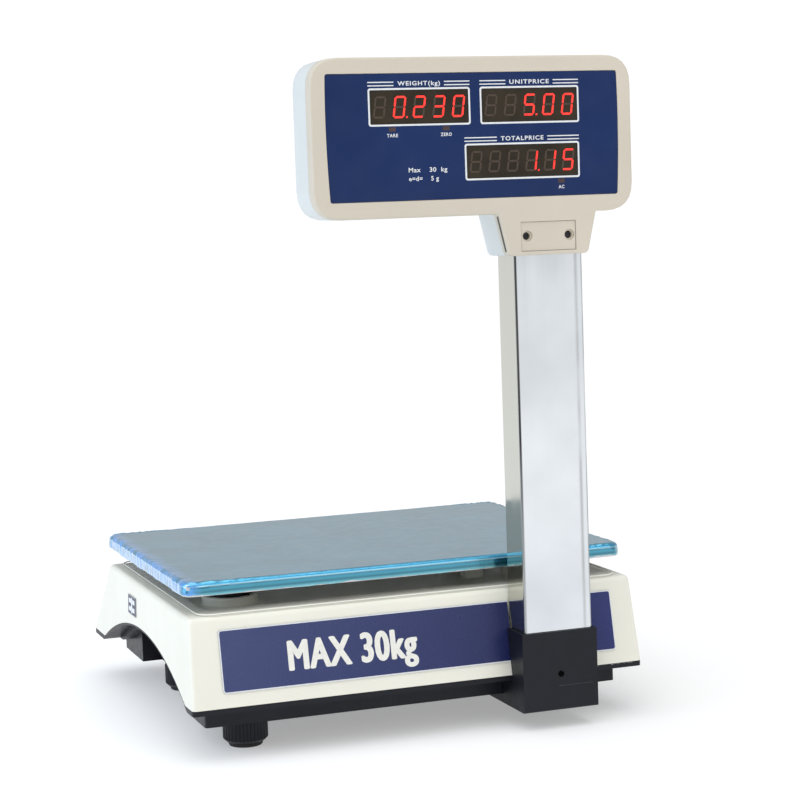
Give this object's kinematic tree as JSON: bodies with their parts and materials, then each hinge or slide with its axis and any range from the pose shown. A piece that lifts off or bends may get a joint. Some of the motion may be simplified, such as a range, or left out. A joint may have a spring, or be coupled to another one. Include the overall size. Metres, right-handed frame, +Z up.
{
  "type": "retail price scale",
  "caption": "Counter price-computing scale with a lift-off stainless pan, four screw feet, hand grips in the base and a customer display on a rectangular pole.",
  "frame": {"origin": "on the counter, under the middle of the scale's outline", "axes": "+Z up, +X to the right for the customer, -Y towards the customer and +Y towards the operator"},
  "size_m": [0.3474, 0.3637, 0.4884],
  "materials": {
    "ivory_abs": "moulded, fine satin grain",
    "beige_abs": "moulded, fine satin grain",
    "black_abs": "moulded, satin",
    "navy_film": "printed gloss film",
    "keypad_film": "printed and embossed film",
    "grey_film": "metallised film",
    "stainless_pan": "satin stainless under a clear blue protective film",
    "chrome_tube": "bright",
    "machined_aluminium": "machined",
    "cast_aluminium": "as cast",
    "black_rubber": "matt",
    "zinc_screw": "zinc plated",
    "black_screw": "black oxide",
    "plated_pin": "nickel plated",
    "switch_plastic": "gloss",
    "laminated_steel": "varnished laminations",
    "battery_case": "moulded",
    "circuit_board": "solder mask",
    "led_module": "dark tinted",
    "vial": "clear, filled with green spirit",
    "cable_sheath": "matt"
  },
  "bodies": {
    "base": {"base_tray": "black_abs", "housing_cover": "ivory_abs", "case_screw_1": "zinc_screw", "case_screw_2": "zinc_screw", "case_screw_3": "zinc_screw", "case_screw_4": "zinc_screw", "front_label": "navy_film", "front_label_end": "navy_film", "side_label": "grey_film", "keypad_overlay": "keypad_film", "main_board": "circuit_board", "operator_weight_display": "led_module", "operator_unit_price_display": "led_module", "operator_total_price_display": "led_module", "load_cell": "machined_aluminium", "load_cell_base_spacer": "machined_aluminium", "load_cell_top_spacer": "machined_aluminium", "platform_spider": "cast_aluminium", "pan_support_front_left": "black_rubber", "pan_support_front_right": "black_rubber", "pan_support_rear_left": "black_rubber", "pan_support_rear_right": "black_rubber", "power_inlet": "black_abs", "inlet_pin_live": "plated_pin", "inlet_pin_neutral": "plated_pin", "switch_frame": "black_abs", "transformer": "laminated_steel", "battery": "battery_case", "level_holder": "ivory_abs", "level_vial": "vial", "pole_bracket": "black_abs", "pole_tube": "chrome_tube", "pole_screw": "black_screw", "neck_screw_1": "black_screw", "neck_screw_2": "black_screw", "display_cable": "cable_sheath", "head_front_shell": "beige_abs", "head_rear_shell": "beige_abs", "head_panel": "navy_film", "head_board": "circuit_board", "weight_display": "led_module", "unit_price_display": "led_module", "total_price_display": "led_module"},
    "lift_off_pan": {"pan": "stainless_pan"},
    "pad_front_left": {"foot_pad_front_left": "black_rubber"},
    "pad_front_right": {"foot_pad_front_right": "black_rubber"},
    "pad_rear_left": {"foot_pad_rear_left": "black_rubber"},
    "pad_rear_right": {"foot_pad_rear_right": "black_rubber"},
    "knob_front_left": {"foot_knob_front_left": "black_abs"},
    "knob_front_right": {"foot_knob_front_right": "black_abs"},
    "knob_rear_left": {"foot_knob_rear_left": "black_abs"},
    "knob_rear_right": {"foot_knob_rear_right": "black_abs"},
    "power_switch": {"switch_rocker": "switch_plastic"},
    "battery_hatch": {"battery_door": "black_abs"}
  },
  "joints": [
    {"name": "pan_lift", "type": "slide", "parent": "base", "child": "lift_off_pan", "axis": [0, 0, 1], "range_m": [0, 0.38]},
    {"name": "foot_front_left_height", "type": "slide", "parent": "base", "child": "pad_front_left", "axis": [0, 0, -1], "range_m": [0, 0.0075]},
    {"name": "foot_front_right_height", "type": "slide", "parent": "base", "child": "pad_front_right", "axis": [0, 0, -1], "range_m": [0, 0.0075]},
    {"name": "foot_rear_left_height", "type": "slide", "parent": "base", "child": "pad_rear_left", "axis": [0, 0, -1], "range_m": [0, 0.0075]},
    {"name": "foot_rear_right_height", "type": "slide", "parent": "base", "child": "pad_rear_right", "axis": [0, 0, -1], "range_m": [0, 0.0075]},
    {"name": "foot_front_left_turn", "type": "hinge", "parent": "pad_front_left", "child": "knob_front_left", "pos_m": [-0.1245, -0.111, 0.012], "axis": [0, 0, -1], "range_deg": [0, 2160]},
    {"name": "foot_front_right_turn", "type": "hinge", "parent": "pad_front_right", "child": "knob_front_right", "pos_m": [0.1245, -0.111, 0.012], "axis": [0, 0, -1], "range_deg": [0, 2160]},
    {"name": "foot_rear_left_turn", "type": "hinge", "parent": "pad_rear_left", "child": "knob_rear_left", "pos_m": [-0.12, 0.086, 0.012], "axis": [0, 0, -1], "range_deg": [0, 2160]},
    {"name": "foot_rear_right_turn", "type": "hinge", "parent": "pad_rear_right", "child": "knob_rear_right", "pos_m": [0.12, 0.086, 0.012], "axis": [0, 0, -1], "range_deg": [0, 2160]},
    {"name": "power_switch_rock", "type": "hinge", "parent": "base", "child": "power_switch", "pos_m": [0.1346, 0.058, 0.036], "axis": [0, 0, 1], "range_deg": [0, 14]},
    {"name": "battery_hatch_swing", "type": "hinge", "parent": "base", "child": "battery_hatch", "pos_m": [-0.063, 0.0435, 0.0212], "axis": [-1, 0, 0], "range_deg": [-90, 0]}
  ],
  "couplings": [
    {"joint": "foot_front_left_height", "follows": "foot_front_left_turn", "m_per_rad": 0.00019894},
    {"joint": "foot_front_right_height", "follows": "foot_front_right_turn", "m_per_rad": 0.00019894},
    {"joint": "foot_rear_left_height", "follows": "foot_rear_left_turn", "m_per_rad": 0.00019894},
    {"joint": "foot_rear_right_height", "follows": "foot_rear_right_turn", "m_per_rad": 0.00019894}
  ]
}
